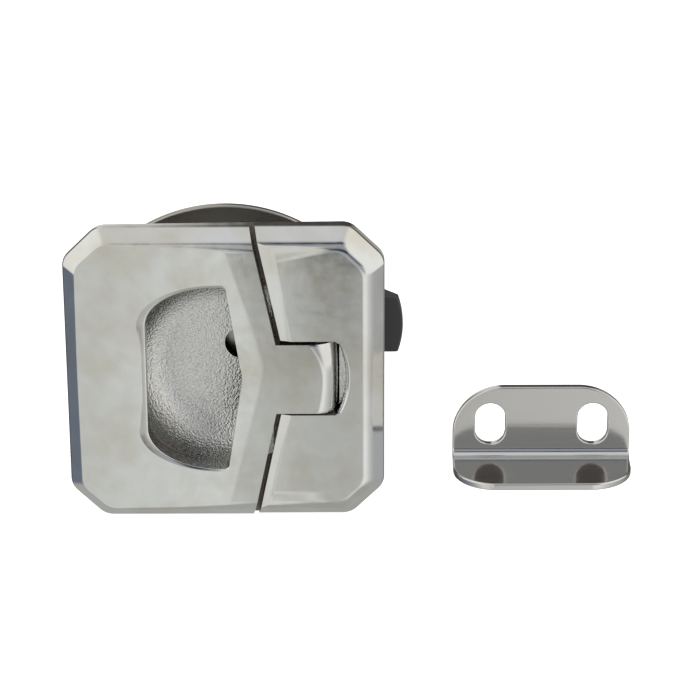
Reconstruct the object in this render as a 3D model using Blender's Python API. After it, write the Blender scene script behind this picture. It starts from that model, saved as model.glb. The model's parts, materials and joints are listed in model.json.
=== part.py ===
"""Flush slam latch with a lift handle, and its loose strike.

Frame: metres, +Z up. The front faces -Y, the bolt points along +X. The origin is the centre of
the panel seat, which is the rear face of the housing's flange, so the panel starts at y = 0.
"""

import math

import bmesh
import bpy
from mathutils import Matrix, Vector

MM = 0.001
GAP = 0.3 * MM
IN_FRONT = -9.0 * MM
BEHIND_SEAT = 2.0 * MM

# Front: a square with cut corners and a bevelled rim. The fixed half is lower than the handle.
HALF = 32.0 * MM
CORNER_LEG = 6.8 * MM
CORNER_RADIUS = 4.0 * MM
FLANGE = 1.6 * MM
FLANGE_INSET = 0.5 * MM
BLOCK_FACE = -5.4 * MM
HANDLE_FACE = -5.8 * MM
HANDLE_BACK = -(FLANGE + GAP)

# Seam between handle and fixed half: half-width of the tongue, and where the seam starts and ends.
TONGUE_HALF = 7.6 * MM
SOCKET_HALF = 8.2 * MM
SEAM_KINK = (10.1 * MM, 8.0 * MM)
SEAM_END = 5.2 * MM
SEAM_GAP = 1.1 * MM
SEAM_CHAMFER = 0.6 * MM
SEAM_CHAMFER_WIDTHS = {1: (2.2 * MM, 3.3 * MM), -1: (2.0 * MM, 1.8 * MM)}
SOCKET_LEFT = 6.0 * MM
SOCKET_RIGHT = 22.0 * MM
SOCKET_BULGE_CENTRE = (20.2 * MM, 0.0)
SOCKET_BULGE_RADII = (4.0 * MM, 9.6 * MM)
SOCKET_BULGE_ANGLE = 56.0

# Window of the handle and the finger cup behind it.
WINDOW_LEFT = -15.7 * MM
WINDOW_TOP_X = 0.3 * MM
WINDOW_APEX_X = 3.5 * MM
WINDOW_HALF = 20.1 * MM
WINDOW_STRAIGHT = 11.5 * MM
WINDOW_LIP = 2.2 * MM
CUP_FLOOR = 6.2 * MM
CUP_RADIUS = 20.6 * MM
CUP_FILLET = 9.0 * MM
CUP_RIGHT = 9.5 * MM
CUP_HOLE = (3.1 * MM, 2.75 * MM)
CUP_HOLE_RADIUS = 3.5 * MM
WELL_LEFT = 12.0 * MM
WELL_RIGHT = 22.9 * MM

# Barrel and panel clamp.
BARREL_RADIUS = 24.8 * MM
BARREL_END = 9.3 * MM
PLATE_RADIUS = 31.5 * MM
PLATE_FRONT = BARREL_END + GAP
PLATE_THICK = 1.5 * MM
PLATE_SLOT = (8.5 * MM, 23.0 * MM)
PLATE_SLOT_HALF = 5.5 * MM
CLAMP_PLACES = [(sx * 13.2 * MM, sz * 16.6 * MM) for sx in (1, -1) for sz in (1, -1)]
CLAMP_HOLE = 2.3 * MM
# Screws: shank radius, length under the head, head radius, head height.
CLAMP_SCREW = (2.0 * MM, 9.9 * MM, 3.6 * MM, 2.4 * MM)
COVER_SCREW = (1.15 * MM, 7.0 * MM, 2.1 * MM, 1.4 * MM)
BOSS_HOLE_START = 5.0 * MM

# Handle hinge: the pin runs along Z in the fixed half, in a bore that is closed at both ends.
PIVOT = Vector((19.0 * MM, -2.2 * MM, 0.0))
PIN_RADIUS = 1.5 * MM
PIN_TOP = 12.6 * MM
PIN_BOTTOM = -13.0 * MM
NOSE_REACH = 3.6 * MM
NOSE_BACK = 1.4 * MM
KNUCKLE_LEFT = 13.6 * MM
TONGUE_ROOT = 8.0 * MM
TONGUE_FLAT_END = 19.4 * MM
TONGUE_FLAT_LOSS = (3.0 * MM, 1.1 * MM)
SPRING_BAY = (-7.0 * MM, -3.2 * MM)
SPRING_BAY_RADIUS = 2.75 * MM

# Bolt, its drive pin, and the case behind the plate.
BOLT_FRONT = 20.6 * MM
BOLT_BACK = 31.1 * MM
BOLT_HALF = 6.2 * MM
BOLT_TAIL = 6.0 * MM
BOLT_TIP = 35.1 * MM
BOLT_BULGE = 1.0 * MM
BOLT_NOSE = 1.8 * MM
DRIVE_PIN = Vector((16.0 * MM, 23.6 * MM, 0.0))
FINGER_WIDTH = 3.0 * MM
FINGER_HALF = 2.8 * MM
FINGER_END = 27.4 * MM
FINGER_FILLET_END = 9.0 * MM
CASE_FRONT = PLATE_FRONT + PLATE_THICK + GAP
CASE_FLANGE = 2.5 * MM
CASE_FLANGE_RADIUS = 26.2 * MM
CASE_WALL = 2.5 * MM
CASE_LEFT = -22.0 * MM
CASE_RIGHT = 29.5 * MM
CASE_HALF = 11.0 * MM
CASE_BACK = BOLT_BACK + GAP
CASE_SLOT = (6.0 * MM, 23.0 * MM)
CASE_SLOT_HALF = 4.5 * MM
CASE_CORE = (-18.0 * MM, 3.0 * MM)
CASE_CORE_HALF = 8.0 * MM
WASHER_THICK = 0.8 * MM
COVER_THICK = 1.2 * MM
COVER_SCREW_PLACES = [(x * MM, sz * 8.75 * MM) for x in (-18.5, 25.5) for sz in (1, -1)]
COVER_SCREW_HOLE = 1.45 * MM

# Strike: an L of sheet with two slots, drawn beside the latch with its slotted leg on the panel plane.
STRIKE_LEFT = 45.9 * MM
STRIKE_WIDTH = 36.0 * MM
STRIKE_SHEET = 1.5 * MM
STRIKE_TOP = -3.9 * MM
STRIKE_FLOOR = -19.0 * MM
STRIKE_REACH = 14.8 * MM
STRIKE_BEND = 1.6 * MM
STRIKE_TOP_RADII = (10.6 * MM, 10.2 * MM)
STRIKE_FRONT_RADII = (8.5 * MM, 8.0 * MM)
SLOT_WIDTH = 6.1 * MM
SLOT_LENGTH = 9.1 * MM
SLOT_PITCH = 20.8 * MM
SLOT_CENTRE_Z = -12.15 * MM


def clear_scene():
    for old in list(bpy.data.objects):
        bpy.data.objects.remove(old, do_unlink=True)


def material(name, colour, roughness, metallic):
    made = bpy.data.materials.new(name)
    made.use_nodes = True
    shader = made.node_tree.nodes["Principled BSDF"]
    shader.inputs["Base Color"].default_value = (*colour, 1.0)
    shader.inputs["Roughness"].default_value = roughness
    shader.inputs["Metallic"].default_value = metallic
    return made


def add_object(name, mesh_data, finish, origin=(0, 0, 0), parent=None):
    """A named object from a mesh in world coordinates, with its origin moved to the given point."""
    bmesh.ops.recalc_face_normals(mesh_data, faces=mesh_data.faces)
    bmesh.ops.translate(mesh_data, verts=mesh_data.verts, vec=-Vector(origin))
    mesh = bpy.data.meshes.new(name)
    mesh_data.to_mesh(mesh)
    mesh_data.free()
    mesh.shade_smooth()
    mesh.set_sharp_from_angle(angle=math.radians(30))
    made = bpy.data.objects.new(name, mesh)
    made.location = origin
    bpy.context.scene.collection.objects.link(made)
    if finish is not None:
        mesh.materials.append(finish)
    if parent is not None:
        made.parent = parent
        made.matrix_parent_inverse = Matrix.Translation(-parent.location)
    return made


def helper(name, mesh_data):
    """A cutter or a body to join, kept out of the render."""
    made = add_object(name, mesh_data, None)
    made.hide_render = True
    made.display_type = "WIRE"
    return made


def combine(target, other, operation):
    step = target.modifiers.new(other.name, "BOOLEAN")
    step.operation = operation
    step.solver = "EXACT"
    step.object = other


def cut(target, name, mesh_data):
    combine(target, helper(name, mesh_data), "DIFFERENCE")


def join(target, name, mesh_data):
    combine(target, helper(name, mesh_data), "UNION")


# Outlines are lists of (x, z) points. A loft joins closed rings of equal length and caps both ends.


def loft(rings):
    made = bmesh.new()
    rows = [[made.verts.new(point) for point in ring] for ring in rings]
    count = len(rows[0])
    for near, far in zip(rows, rows[1:]):
        for i in range(count):
            j = (i + 1) % count
            made.faces.new((near[i], near[j], far[j], far[i]))
    made.faces.new(rows[0][::-1])
    made.faces.new(rows[-1])
    bmesh.ops.recalc_face_normals(made, faces=made.faces)
    return made


def prism_y(outline, near, far):
    """An outline in X and Z, extruded along Y."""
    return loft([[(x, y, z) for x, z in outline] for y in (near, far)])


def prism_z(outline, low, high):
    """An outline in X and Y, extruded along Z."""
    return loft([[(x, y, z) for x, y in outline] for z in (low, high)])


def box(low, high):
    made = bmesh.new()
    bmesh.ops.create_cube(made, size=1.0)
    size = [b - a for a, b in zip(low, high)]
    middle = [(a + b) / 2 for a, b in zip(low, high)]
    bmesh.ops.scale(made, vec=size, verts=made.verts)
    bmesh.ops.translate(made, vec=middle, verts=made.verts)
    return made


def circle(centre, radius, count):
    points = []
    for i in range(count):
        angle = 2 * math.pi * i / count
        points.append((centre[0] + radius * math.cos(angle), centre[1] + radius * math.sin(angle)))
    return points


def arc(centre, radii, start, end, count):
    """Points on an elliptical arc, angles in degrees."""
    points = []
    for i in range(count + 1):
        angle = math.radians(start + (end - start) * i / count)
        points.append((centre[0] + radii[0] * math.cos(angle), centre[1] + radii[1] * math.sin(angle)))
    return points


def rod_y(centre, profile, count):
    """A turned body along Y: profile is a list of (radius, y)."""
    return loft([[(x, y, z) for x, z in circle(centre, radius, count)] for radius, y in profile])


def rod_z(centre, profile, count):
    """A turned body along Z: profile is a list of (radius, z)."""
    return loft([[(x, y, z) for x, y in circle(centre, radius, count)] for radius, z in profile])


def hull(points):
    made = bmesh.new()
    for point in points:
        made.verts.new(point)
    bmesh.ops.convex_hull(made, input=made.verts)
    return made


def octagon(inset):
    """The front's outline, moved inwards, with rounded corners."""
    half = HALF - inset
    leg = CORNER_LEG - inset * (2 - math.sqrt(2))
    radius = max(CORNER_RADIUS - inset, 0.7 * MM)
    near = half - leg
    corners = []
    for sx, sz in ((1, 1), (-1, 1), (-1, -1), (1, -1)):
        pair = [(sx * half, sz * near), (sx * near, sz * half)]
        corners += pair if sx * sz > 0 else pair[::-1]
    points = []
    steps = 4
    turn = math.radians(45)
    for i, (x, z) in enumerate(corners):
        middle = math.radians(22.5) + i * turn
        reach = radius / math.cos(turn / 2)
        cx, cz = x - reach * math.cos(middle), z - reach * math.sin(middle)
        for k in range(steps + 1):
            angle = middle + turn * (k / steps - 0.5)
            points.append((cx + radius * math.cos(angle), cz + radius * math.sin(angle)))
    return points


def pillow(back, face):
    """The bevelled front block: straight rim, 45 degree bevel with softened edges, flat face."""
    profile = ((0.0, 3.1), (0.1, 2.5), (0.4, 2.1), (1.4, 1.2), (2.5, 0.45), (3.5, 0.1), (4.6, 0.0))
    rings = [[(x, back, z) for x, z in octagon(0.0)]]
    for inset, depth in profile:
        rings.append([(x, face + depth * MM, z) for x, z in octagon(inset * MM)])
    return loft(rings)


def seam_x(z, shift):
    """The seam's line: a chevron that reaches furthest to the right at the tongue."""
    run = (SEAM_KINK[0] - SEAM_END) / (HALF - SEAM_KINK[1])
    return SEAM_KINK[0] + shift - run * (abs(z) - SEAM_KINK[1])


def half_outline(side, shift, kink_z):
    """Everything on one side of the seam, past the rim; side is -1 for the handle, 1 for the block."""
    far = 40 * MM
    line = [(seam_x(far, shift), far), (seam_x(kink_z, shift), kink_z)]
    line += [(x, -z) for x, z in reversed(line)]
    return line + [(side * far, -far), (side * far, far)]


def socket_outline():
    """The pocket for the tongue: straight top and bottom, bulging right end."""
    turn = SOCKET_BULGE_ANGLE
    bulge = arc(SOCKET_BULGE_CENTRE, SOCKET_BULGE_RADII, -turn, turn, 10)
    lower = [(SOCKET_LEFT, -SOCKET_HALF), (SOCKET_RIGHT, -SOCKET_HALF)]
    upper = [(SOCKET_RIGHT, SOCKET_HALF), (SOCKET_LEFT, SOCKET_HALF)]
    return lower + bulge + upper


def window_outline(grow):
    """The finger window: straight left edge, elliptical upper and lower left, chevron right edge."""
    left = WINDOW_LEFT - grow
    top = WINDOW_HALF + 0.3 * grow
    centre_x = -1.2 * MM
    reach = centre_x - left
    rise = top - WINDOW_STRAIGHT
    right = WINDOW_TOP_X
    apex = WINDOW_APEX_X
    soft = 1.0 * MM
    upper = arc((centre_x, WINDOW_STRAIGHT), (reach, rise), 90, 180, 8)
    lower = [(x, -z) for x, z in reversed(upper)]
    return upper + lower + [
        (right - soft, -top),
        (right - 0.1 * soft, -top + 0.4 * soft),
        (right + 0.1 * soft, -top + 1.3 * soft),
        (apex, -0.4 * MM),
        (apex, 0.4 * MM),
        (right + 0.1 * soft, top - 1.3 * soft),
        (right - 0.1 * soft, top - 0.4 * soft),
        (right - soft, top),
    ]


def cup_profile():
    """The finger cup: a round bowl with a flat floor and a large fillet."""
    centre = (CUP_RADIUS - CUP_FILLET, CUP_FLOOR - CUP_FILLET)
    profile = [(CUP_RADIUS, HANDLE_BACK - MM)]
    profile += arc(centre, (CUP_FILLET, CUP_FILLET), 0, 90, 7)
    return profile


def make_housing(finish):
    left = [(x, z) for x, z in octagon(FLANGE_INSET) if x < 0]
    right = [(x, z) for x, z in octagon(0.0) if x > 0]
    upper = [p for p in right if p[1] > 0]
    lower = [p for p in right if p[1] < 0]
    base = prism_y(lower + upper + left, -FLANGE, 0.0)
    housing = add_object("housing", base, finish)

    block = helper("fixed_half", pillow(-FLANGE / 4, BLOCK_FACE))
    side_prism = prism_y(half_outline(1, SEAM_GAP, SOCKET_HALF), IN_FRONT, BEHIND_SEAT)
    combine(block, helper("fixed_half_side", side_prism), "INTERSECT")
    combine(housing, block, "UNION")
    barrel = ((BARREL_RADIUS, -FLANGE / 2), (BARREL_RADIUS, BARREL_END))
    join(housing, "barrel", rod_y((0, 0), barrel, 64))

    for side in (1, -1):
        ends = []
        for z, wide in zip((SOCKET_HALF - MM, HALF + MM), SEAM_CHAMFER_WIDTHS[side]):
            edge = seam_x(z, SEAM_GAP)
            ends.append((edge - 2 * MM, BLOCK_FACE - MM, side * z))
            ends.append((edge + wide, BLOCK_FACE, side * z))
            ends.append((edge + wide, BLOCK_FACE - MM, side * z))
            ends.append((edge, BLOCK_FACE + SEAM_CHAMFER, side * z))
            ends.append((edge - 2 * MM, BLOCK_FACE + SEAM_CHAMFER, side * z))
        cut(housing, f"seam_chamfer_{side}", hull(ends))

    cut(housing, "socket_cut", prism_y(socket_outline(), IN_FRONT, -FLANGE))
    well = [(min(max(x, WELL_LEFT), WELL_RIGHT), z) for x, z in socket_outline()]
    cut(housing, "arm_well", prism_y(well, -FLANGE - MM, BARREL_END + MM))
    bowl = helper("finger_cup", rod_y((0, 0), cup_profile(), 56))
    left_of_well = box((-HALF, IN_FRONT, -HALF), (CUP_RIGHT, BARREL_END, HALF))
    combine(bowl, helper("finger_cup_side", left_of_well), "INTERSECT")
    combine(housing, bowl, "DIFFERENCE")
    hole = ((CUP_HOLE_RADIUS, CUP_FLOOR - 2 * MM), (CUP_HOLE_RADIUS, BARREL_END + MM))
    cut(housing, "cup_hole", rod_y(CUP_HOLE, hole, 24))
    radius = PIN_RADIUS + GAP
    hole = ((radius, PIN_BOTTOM - GAP), (radius, PIN_TOP + GAP))
    cut(housing, "pin_hole", rod_z(PIVOT, hole, 20))
    for i, place in enumerate(CLAMP_PLACES):
        hole = ((CLAMP_HOLE, BOSS_HOLE_START), (CLAMP_HOLE, BARREL_END + MM))
        cut(housing, f"boss_hole_{i}", rod_y(place, hole, 16))
    return housing


def tongue_rings():
    """Sections of the tongue across its width: flat top, then a nose rolled about the hinge pin."""
    rings = []
    stations = 8
    for i in range(stations + 1):
        z = -TONGUE_HALF + 2 * TONGUE_HALF * i / stations
        share = (z / TONGUE_HALF) ** 2
        flat_end = TONGUE_FLAT_END - TONGUE_FLAT_LOSS[0 if z > 0 else 1] * share
        nose = PIVOT.x + NOSE_REACH - 0.3 * MM * share
        rise = PIVOT.y - HANDLE_FACE
        front = arc((flat_end, PIVOT.y), (nose - flat_end, rise), -90, 0, 7)
        back = arc((PIVOT.x, PIVOT.y), (nose - PIVOT.x, NOSE_BACK - PIVOT.y), 0, 90, 5)
        outline = [(TONGUE_ROOT, HANDLE_FACE)] + front + back[1:]
        outline += [(KNUCKLE_LEFT, NOSE_BACK), (KNUCKLE_LEFT, HANDLE_BACK)]
        outline.append((TONGUE_ROOT, HANDLE_BACK))
        rings.append([(x, y, z) for x, y in outline])
    return rings


def finger_outline():
    """The drive finger in X and Y, from the knuckle back to its round tip."""
    left = PIVOT.x - 1.3 * MM
    right = left + FINGER_WIDTH
    middle = (left + right) / 2
    tip = arc((middle, FINGER_END - FINGER_WIDTH / 2), (FINGER_WIDTH / 2, FINGER_WIDTH / 2), 0, 180, 8)
    root = NOSE_BACK - MM
    outline = [(left - 2.2 * MM, root), (right + 1.6 * MM, root), (right, FINGER_FILLET_END)]
    return outline + tip + [(left, FINGER_FILLET_END)]


def make_handle(finish, hinge):
    plate = pillow(HANDLE_BACK, HANDLE_FACE)
    handle = add_object("handle", plate, finish, PIVOT, hinge)
    side = prism_y(half_outline(-1, 0.0, TONGUE_HALF), IN_FRONT, BEHIND_SEAT)
    combine(handle, helper("handle_side", side), "INTERSECT")
    lip = (
        (WINDOW_LIP + 0.5 * MM, HANDLE_FACE - 0.5 * MM),
        (WINDOW_LIP, HANDLE_FACE),
        (0.3 * MM, HANDLE_FACE + 0.6 * MM),
        (0.0, HANDLE_BACK + MM),
    )
    rings = []
    for grow, y in lip:
        rings.append([(x, y, z) for x, z in window_outline(grow)])
    cut(handle, "window", loft(rings))
    join(handle, "tongue", loft(tongue_rings()))
    join(handle, "drive_finger", prism_z(finger_outline(), -FINGER_HALF, FINGER_HALF))
    hole = PIN_RADIUS + GAP
    cut(handle, "knuckle_hole", rod_z(PIVOT, ((hole, -9 * MM), (hole, 9 * MM)), 20))
    bay = SPRING_BAY_RADIUS
    outline = arc((PIVOT.x, PIVOT.y), (bay, bay), 180, 360, 12)
    outline += [(PIVOT.x + bay, 3 * MM), (PIVOT.x - bay, 3 * MM)]
    cut(handle, "spring_bay", prism_z(outline, *SPRING_BAY))
    return handle


def tube(path, radius, sides):
    """A round wire along a list of points, with flat ends."""
    rings = []
    normal = None
    for i, point in enumerate(path):
        ahead = path[min(i + 1, len(path) - 1)] - path[max(i - 1, 0)]
        ahead.normalize()
        if normal is None:
            normal = ahead.orthogonal().normalized()
        normal = (normal - ahead * normal.dot(ahead)).normalized()
        across = ahead.cross(normal)
        ring = []
        for k in range(sides):
            angle = 2 * math.pi * k / sides
            ring.append(point + radius * (math.cos(angle) * normal + math.sin(angle) * across))
        rings.append(ring)
    return loft(rings)


def make_handle_spring(finish):
    """Torsion spring on the pin: one leg pushes the bay's right wall, one the well's left wall."""
    wire = 0.3 * MM
    mean = 2.15 * MM
    low, high = SPRING_BAY[0] + GAP + wire, SPRING_BAY[1] - GAP - wire
    turns, steps = 3.5, 14
    total = int(turns * steps)
    path = [Vector((PIVOT.x + mean, 1.0 * MM, low))]
    for i in range(total + 1):
        angle = 2 * math.pi * i / steps
        height = low + (high - low) * i / total
        path.append(Vector((PIVOT.x + mean * math.cos(angle), PIVOT.y - mean * math.sin(angle), height)))
    path.append(Vector((PIVOT.x - mean, 1.6 * MM, high)))
    path.append(Vector((PIVOT.x - mean - 0.6 * MM, 2.8 * MM, high)))
    path.append(Vector((12.7 * MM, 4.6 * MM, high)))
    return add_object("handle_spring", tube(path, wire, 6), finish)


def make_pivot_pin(finish):
    ease = 0.3 * MM
    profile = ((PIN_RADIUS - ease, PIN_BOTTOM), (PIN_RADIUS, PIN_BOTTOM + ease))
    profile += ((PIN_RADIUS, PIN_TOP - ease), (PIN_RADIUS - ease, PIN_TOP))
    return add_object("pivot_pin", rod_z(PIVOT, profile, 20), finish, PIVOT)


def make_mounting_plate(finish):
    back = PLATE_FRONT + PLATE_THICK
    ease = 0.4 * MM
    profile = (
        (PLATE_RADIUS - ease, PLATE_FRONT),
        (PLATE_RADIUS - 0.3 * ease, PLATE_FRONT + 0.3 * ease),
        (PLATE_RADIUS, PLATE_FRONT + ease),
        (PLATE_RADIUS, back - ease),
        (PLATE_RADIUS - 0.3 * ease, back - 0.3 * ease),
        (PLATE_RADIUS - ease, back),
    )
    plate = add_object("mounting_plate", rod_y((0, 0), profile, 72), finish)
    low = (PLATE_SLOT[0], PLATE_FRONT - MM, -PLATE_SLOT_HALF)
    cut(plate, "plate_arm_slot", box(low, (PLATE_SLOT[1], back + MM, PLATE_SLOT_HALF)))
    for i, place in enumerate(CLAMP_PLACES):
        hole = ((CLAMP_HOLE, PLATE_FRONT - MM), (CLAMP_HOLE, back + MM))
        cut(plate, f"plate_hole_{i}", rod_y(place, hole, 16))
    return plate


def make_bolt_case(finish):
    flange_back = CASE_FRONT + CASE_FLANGE
    radius = CASE_FLANGE_RADIUS
    ease = 0.5 * MM
    profile = ((radius, CASE_FRONT), (radius, flange_back - ease), (radius - ease, flange_back))
    case = add_object("bolt_case", rod_y((0, 0), profile, 48), finish)
    low = (CASE_LEFT, CASE_FRONT + MM, -CASE_HALF)
    join(case, "case_box", box(low, (CASE_RIGHT, CASE_BACK, CASE_HALF)))
    channel_half = BOLT_HALF + GAP
    low = (CASE_LEFT + CASE_WALL, BOLT_FRONT - GAP, -channel_half)
    cut(case, "bolt_channel", box(low, (CASE_RIGHT + MM, CASE_BACK + MM, channel_half)))
    low = (CASE_SLOT[0], CASE_FRONT - MM, -CASE_SLOT_HALF)
    cut(case, "case_arm_slot", box(low, (CASE_SLOT[1], BOLT_FRONT + MM, CASE_SLOT_HALF)))
    low = (CASE_CORE[0], CASE_FRONT - MM, -CASE_CORE_HALF)
    cut(case, "case_core", box(low, (CASE_CORE[1], BOLT_FRONT - CASE_WALL, CASE_CORE_HALF)))
    for i, place in enumerate(CLAMP_PLACES):
        hole = ((CLAMP_HOLE, CASE_FRONT - MM), (CLAMP_HOLE, flange_back + MM))
        cut(case, f"case_clamp_hole_{i}", rod_y(place, hole, 16))
    for i, place in enumerate(COVER_SCREW_PLACES):
        hole = ((COVER_SCREW_HOLE, CASE_BACK - 8 * MM), (COVER_SCREW_HOLE, CASE_BACK + MM))
        cut(case, f"case_screw_hole_{i}", rod_y(place, hole, 12))
    return case


def make_case_cover(finish):
    front = CASE_BACK + GAP
    back = front + COVER_THICK
    edge = 0.4 * MM
    low = (CASE_LEFT + edge, front, -CASE_HALF + edge)
    cover_box = box(low, (CASE_RIGHT - edge, back, CASE_HALF - edge))
    corners = [e for e in cover_box.edges if abs(e.verts[0].co.y - e.verts[1].co.y) > edge]
    bmesh.ops.bevel(cover_box, geom=corners, offset=2.5 * MM, segments=3, profile=0.5, affect="EDGES")
    cover = add_object("case_cover", cover_box, finish)
    for i, place in enumerate(COVER_SCREW_PLACES):
        hole = ((COVER_SCREW_HOLE, front - MM), (COVER_SCREW_HOLE, back + MM))
        cut(cover, f"cover_hole_{i}", rod_y(place, hole, 12))
    return cover


def make_screw(name, centre, seat, sizes, finish):
    """A pan-head screw along Y whose head sits behind the seat, with a cross recess."""
    shank, length, head, height = sizes
    sides = 16
    profile = (
        (shank - 0.3 * MM, seat - length),
        (shank, seat - length + 0.5 * MM),
        (shank, seat),
        (head, seat),
        (head, seat + 0.45 * height),
        (0.85 * head, seat + 0.8 * height),
        (0.55 * head, seat + height),
    )
    screw = add_object(name, rod_y(centre, profile, sides), finish, (centre[0], seat, centre[1]))
    x, z = centre
    top = seat + height
    long, wide = 0.62 * head, 0.16 * head
    for label, dx, dz in (("a", long, wide), ("b", wide, long)):
        recess = box((x - dx, top - 0.55 * height, z - dz), (x + dx, top + MM, z + dz))
        cut(screw, f"{name}_recess_{label}", recess)
    return screw


def make_washer(name, centre, front, finish):
    profile = ((4.0 * MM, front), (4.2 * MM, front + 0.2 * MM), (4.2 * MM, front + WASHER_THICK))
    washer = add_object(name, rod_y(centre, profile, 24), finish)
    bore = ((CLAMP_HOLE, front - MM), (CLAMP_HOLE, front + 2 * MM))
    cut(washer, f"{name}_bore", rod_y(centre, bore, 16))
    return washer


def make_bolt(finish, slide):
    """The slam bolt: flat catch face in front, ramp behind, rounded tip, pocket for the drive finger."""
    rings = []
    stations = 10
    ease = 0.5 * MM
    for i in range(stations + 1):
        z = -BOLT_HALF + 2 * BOLT_HALF * i / stations
        tip = BOLT_TIP + BOLT_BULGE * (1 - (z / BOLT_HALF) ** 2)
        nose = BOLT_FRONT + BOLT_NOSE
        ramp_start = tip - (BOLT_BACK - nose)
        outline = [
            (BOLT_TAIL, BOLT_FRONT),
            (tip - ease, BOLT_FRONT),
            (tip - 0.3 * ease, BOLT_FRONT + 0.3 * ease),
            (tip, BOLT_FRONT + ease),
            (tip, nose - 0.3 * ease),
            (tip - 0.5 * ease, nose + 0.4 * ease),
            (ramp_start, BOLT_BACK),
            (BOLT_TAIL, BOLT_BACK),
        ]
        rings.append([(x, y, z) for x, y in outline])
    body = loft(rings)
    long_edges = [
        e
        for e in body.edges
        if abs(abs(e.verts[0].co.z) - BOLT_HALF) < 1e-6 and abs(e.verts[0].co.z - e.verts[1].co.z) < 1e-6
    ]
    bmesh.ops.bevel(body, geom=long_edges, offset=0.4 * MM, segments=2, profile=0.5, affect="EDGES")
    bolt = add_object("bolt", body, finish, DRIVE_PIN, slide)
    pocket_half = FINGER_HALF + 2 * GAP
    low = (DRIVE_PIN.x - 2.0 * MM, BOLT_FRONT - MM, -pocket_half)
    high = (29.0 * MM, FINGER_END + 0.5 * MM, pocket_half)
    cut(bolt, "finger_pocket", box(low, high))
    hole = PIN_RADIUS + GAP
    profile = ((hole, -BOLT_HALF - MM), (hole, BOLT_HALF - 0.8 * MM))
    cut(bolt, "drive_pin_hole", rod_z(DRIVE_PIN, profile, 16))
    join(bolt, "spring_spigot", spigot())
    return bolt


def spigot():
    """The spigot on the bolt's tail that centres its spring."""
    middle = (BOLT_FRONT + BOLT_BACK) / 2
    full, ease = 2.0 * MM, 0.5 * MM
    start = BOLT_TAIL - 4.0 * MM
    rings = []
    for radius, x in ((full - ease, start), (full, start + ease), (full, BOLT_TAIL + 2 * MM)):
        rings.append([(x, y, z) for y, z in circle((middle, 0.0), radius, 16)])
    return loft(rings)


def make_drive_pin(finish, slide):
    reach = BOLT_HALF - 1.2 * MM
    profile = ((PIN_RADIUS - 0.2 * MM, -reach), (PIN_RADIUS, -reach + 0.2 * MM), (PIN_RADIUS, reach))
    return add_object("bolt_drive_pin", rod_z(DRIVE_PIN, profile, 16), finish, DRIVE_PIN, slide)


def make_bolt_spring(finish):
    """Compression spring from the case's left wall to the bolt's tail, with closed end turns."""
    wire = 0.4 * MM
    mean = 3.4 * MM
    middle = (BOLT_FRONT + BOLT_BACK) / 2
    start = CASE_LEFT + CASE_WALL + GAP + wire
    end = BOLT_TAIL - GAP - wire
    steps, dead, live = 14, 1.0, 7.0
    closed_pitch = 2.2 * wire
    live_pitch = (end - start - 2 * dead * closed_pitch) / live
    path = []
    for i in range(int((2 * dead + live) * steps) + 1):
        turn = i / steps
        x = start + closed_pitch * min(turn, dead)
        x += live_pitch * min(max(turn - dead, 0.0), live)
        x += closed_pitch * max(turn - dead - live, 0.0)
        angle = 2 * math.pi * turn
        path.append(Vector((x, middle + mean * math.cos(angle), mean * math.sin(angle))))
    return add_object("bolt_spring", tube(path, wire, 6), finish)


def strike_blank():
    """The bent strip in Y and Z, as a ring that runs round the sheet's section."""
    inner = STRIKE_BEND
    outer = STRIKE_BEND + STRIKE_SHEET
    centre = (-outer, STRIKE_FLOOR + inner)
    outside = arc(centre, (outer, outer), 0, -90, 6)
    inside = arc(centre, (inner, inner), -90, 0, 6)
    front = -STRIKE_REACH
    return (
        [(0.0, STRIKE_TOP)]
        + outside
        + [(front, STRIKE_FLOOR - STRIKE_SHEET), (front, STRIKE_FLOOR)]
        + inside
        + [(-STRIKE_SHEET, STRIKE_TOP)]
    )


def corner_cutter(x, z_or_y, sx, sign, radii, along):
    """What a rounded sheet corner loses: a square minus an elliptical quarter, along Y or Z."""
    rx, rz = radii
    cx, cz = x - sx * rx, z_or_y - sign * rz
    quarter = arc((0, 0), (rx, rz), 0, 90, 8)
    points = [(cx + sx * px, cz + sign * pz) for px, pz in quarter]
    points += [(cx, cz + sign * (rz + MM)), (x + sx * MM, z_or_y + sign * MM), (x + sx * MM, cz)]
    if along == "y":
        return prism_y(points, -5 * MM, 5 * MM)
    return prism_z(points, STRIKE_FLOOR - 5 * MM, STRIKE_FLOOR + 1.2 * MM)


def make_strike(finish, slide):
    right = STRIKE_LEFT + STRIKE_WIDTH
    centre = (STRIKE_LEFT + right) / 2
    body = loft([[(x, y, z) for y, z in strike_blank()] for x in (STRIKE_LEFT, right)])
    strike = add_object("strike", body, finish, (centre, 0.0, SLOT_CENTRE_Z), slide)
    for label, x, sx in (("left", STRIKE_LEFT, -1), ("right", right, 1)):
        top = corner_cutter(x, STRIKE_TOP, sx, 1, STRIKE_TOP_RADII, "y")
        cut(strike, f"strike_top_{label}", top)
        front = corner_cutter(x, -STRIKE_REACH, sx, -1, STRIKE_FRONT_RADII, "z")
        cut(strike, f"strike_front_{label}", front)
        slot_x = centre + sx * SLOT_PITCH / 2
        straight = (SLOT_LENGTH - SLOT_WIDTH) / 2
        half = (SLOT_WIDTH / 2, SLOT_WIDTH / 2)
        slot = arc((slot_x, SLOT_CENTRE_Z + straight), half, 0, 180, 10)
        slot += arc((slot_x, SLOT_CENTRE_Z - straight), half, 180, 360, 10)
        cut(strike, f"strike_slot_{label}", prism_y(slot, -5 * MM, 5 * MM))
    return strike


def make_empty(name, location):
    empty = bpy.data.objects.new(name, None)
    empty.location = location
    bpy.context.scene.collection.objects.link(empty)
    return empty


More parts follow.
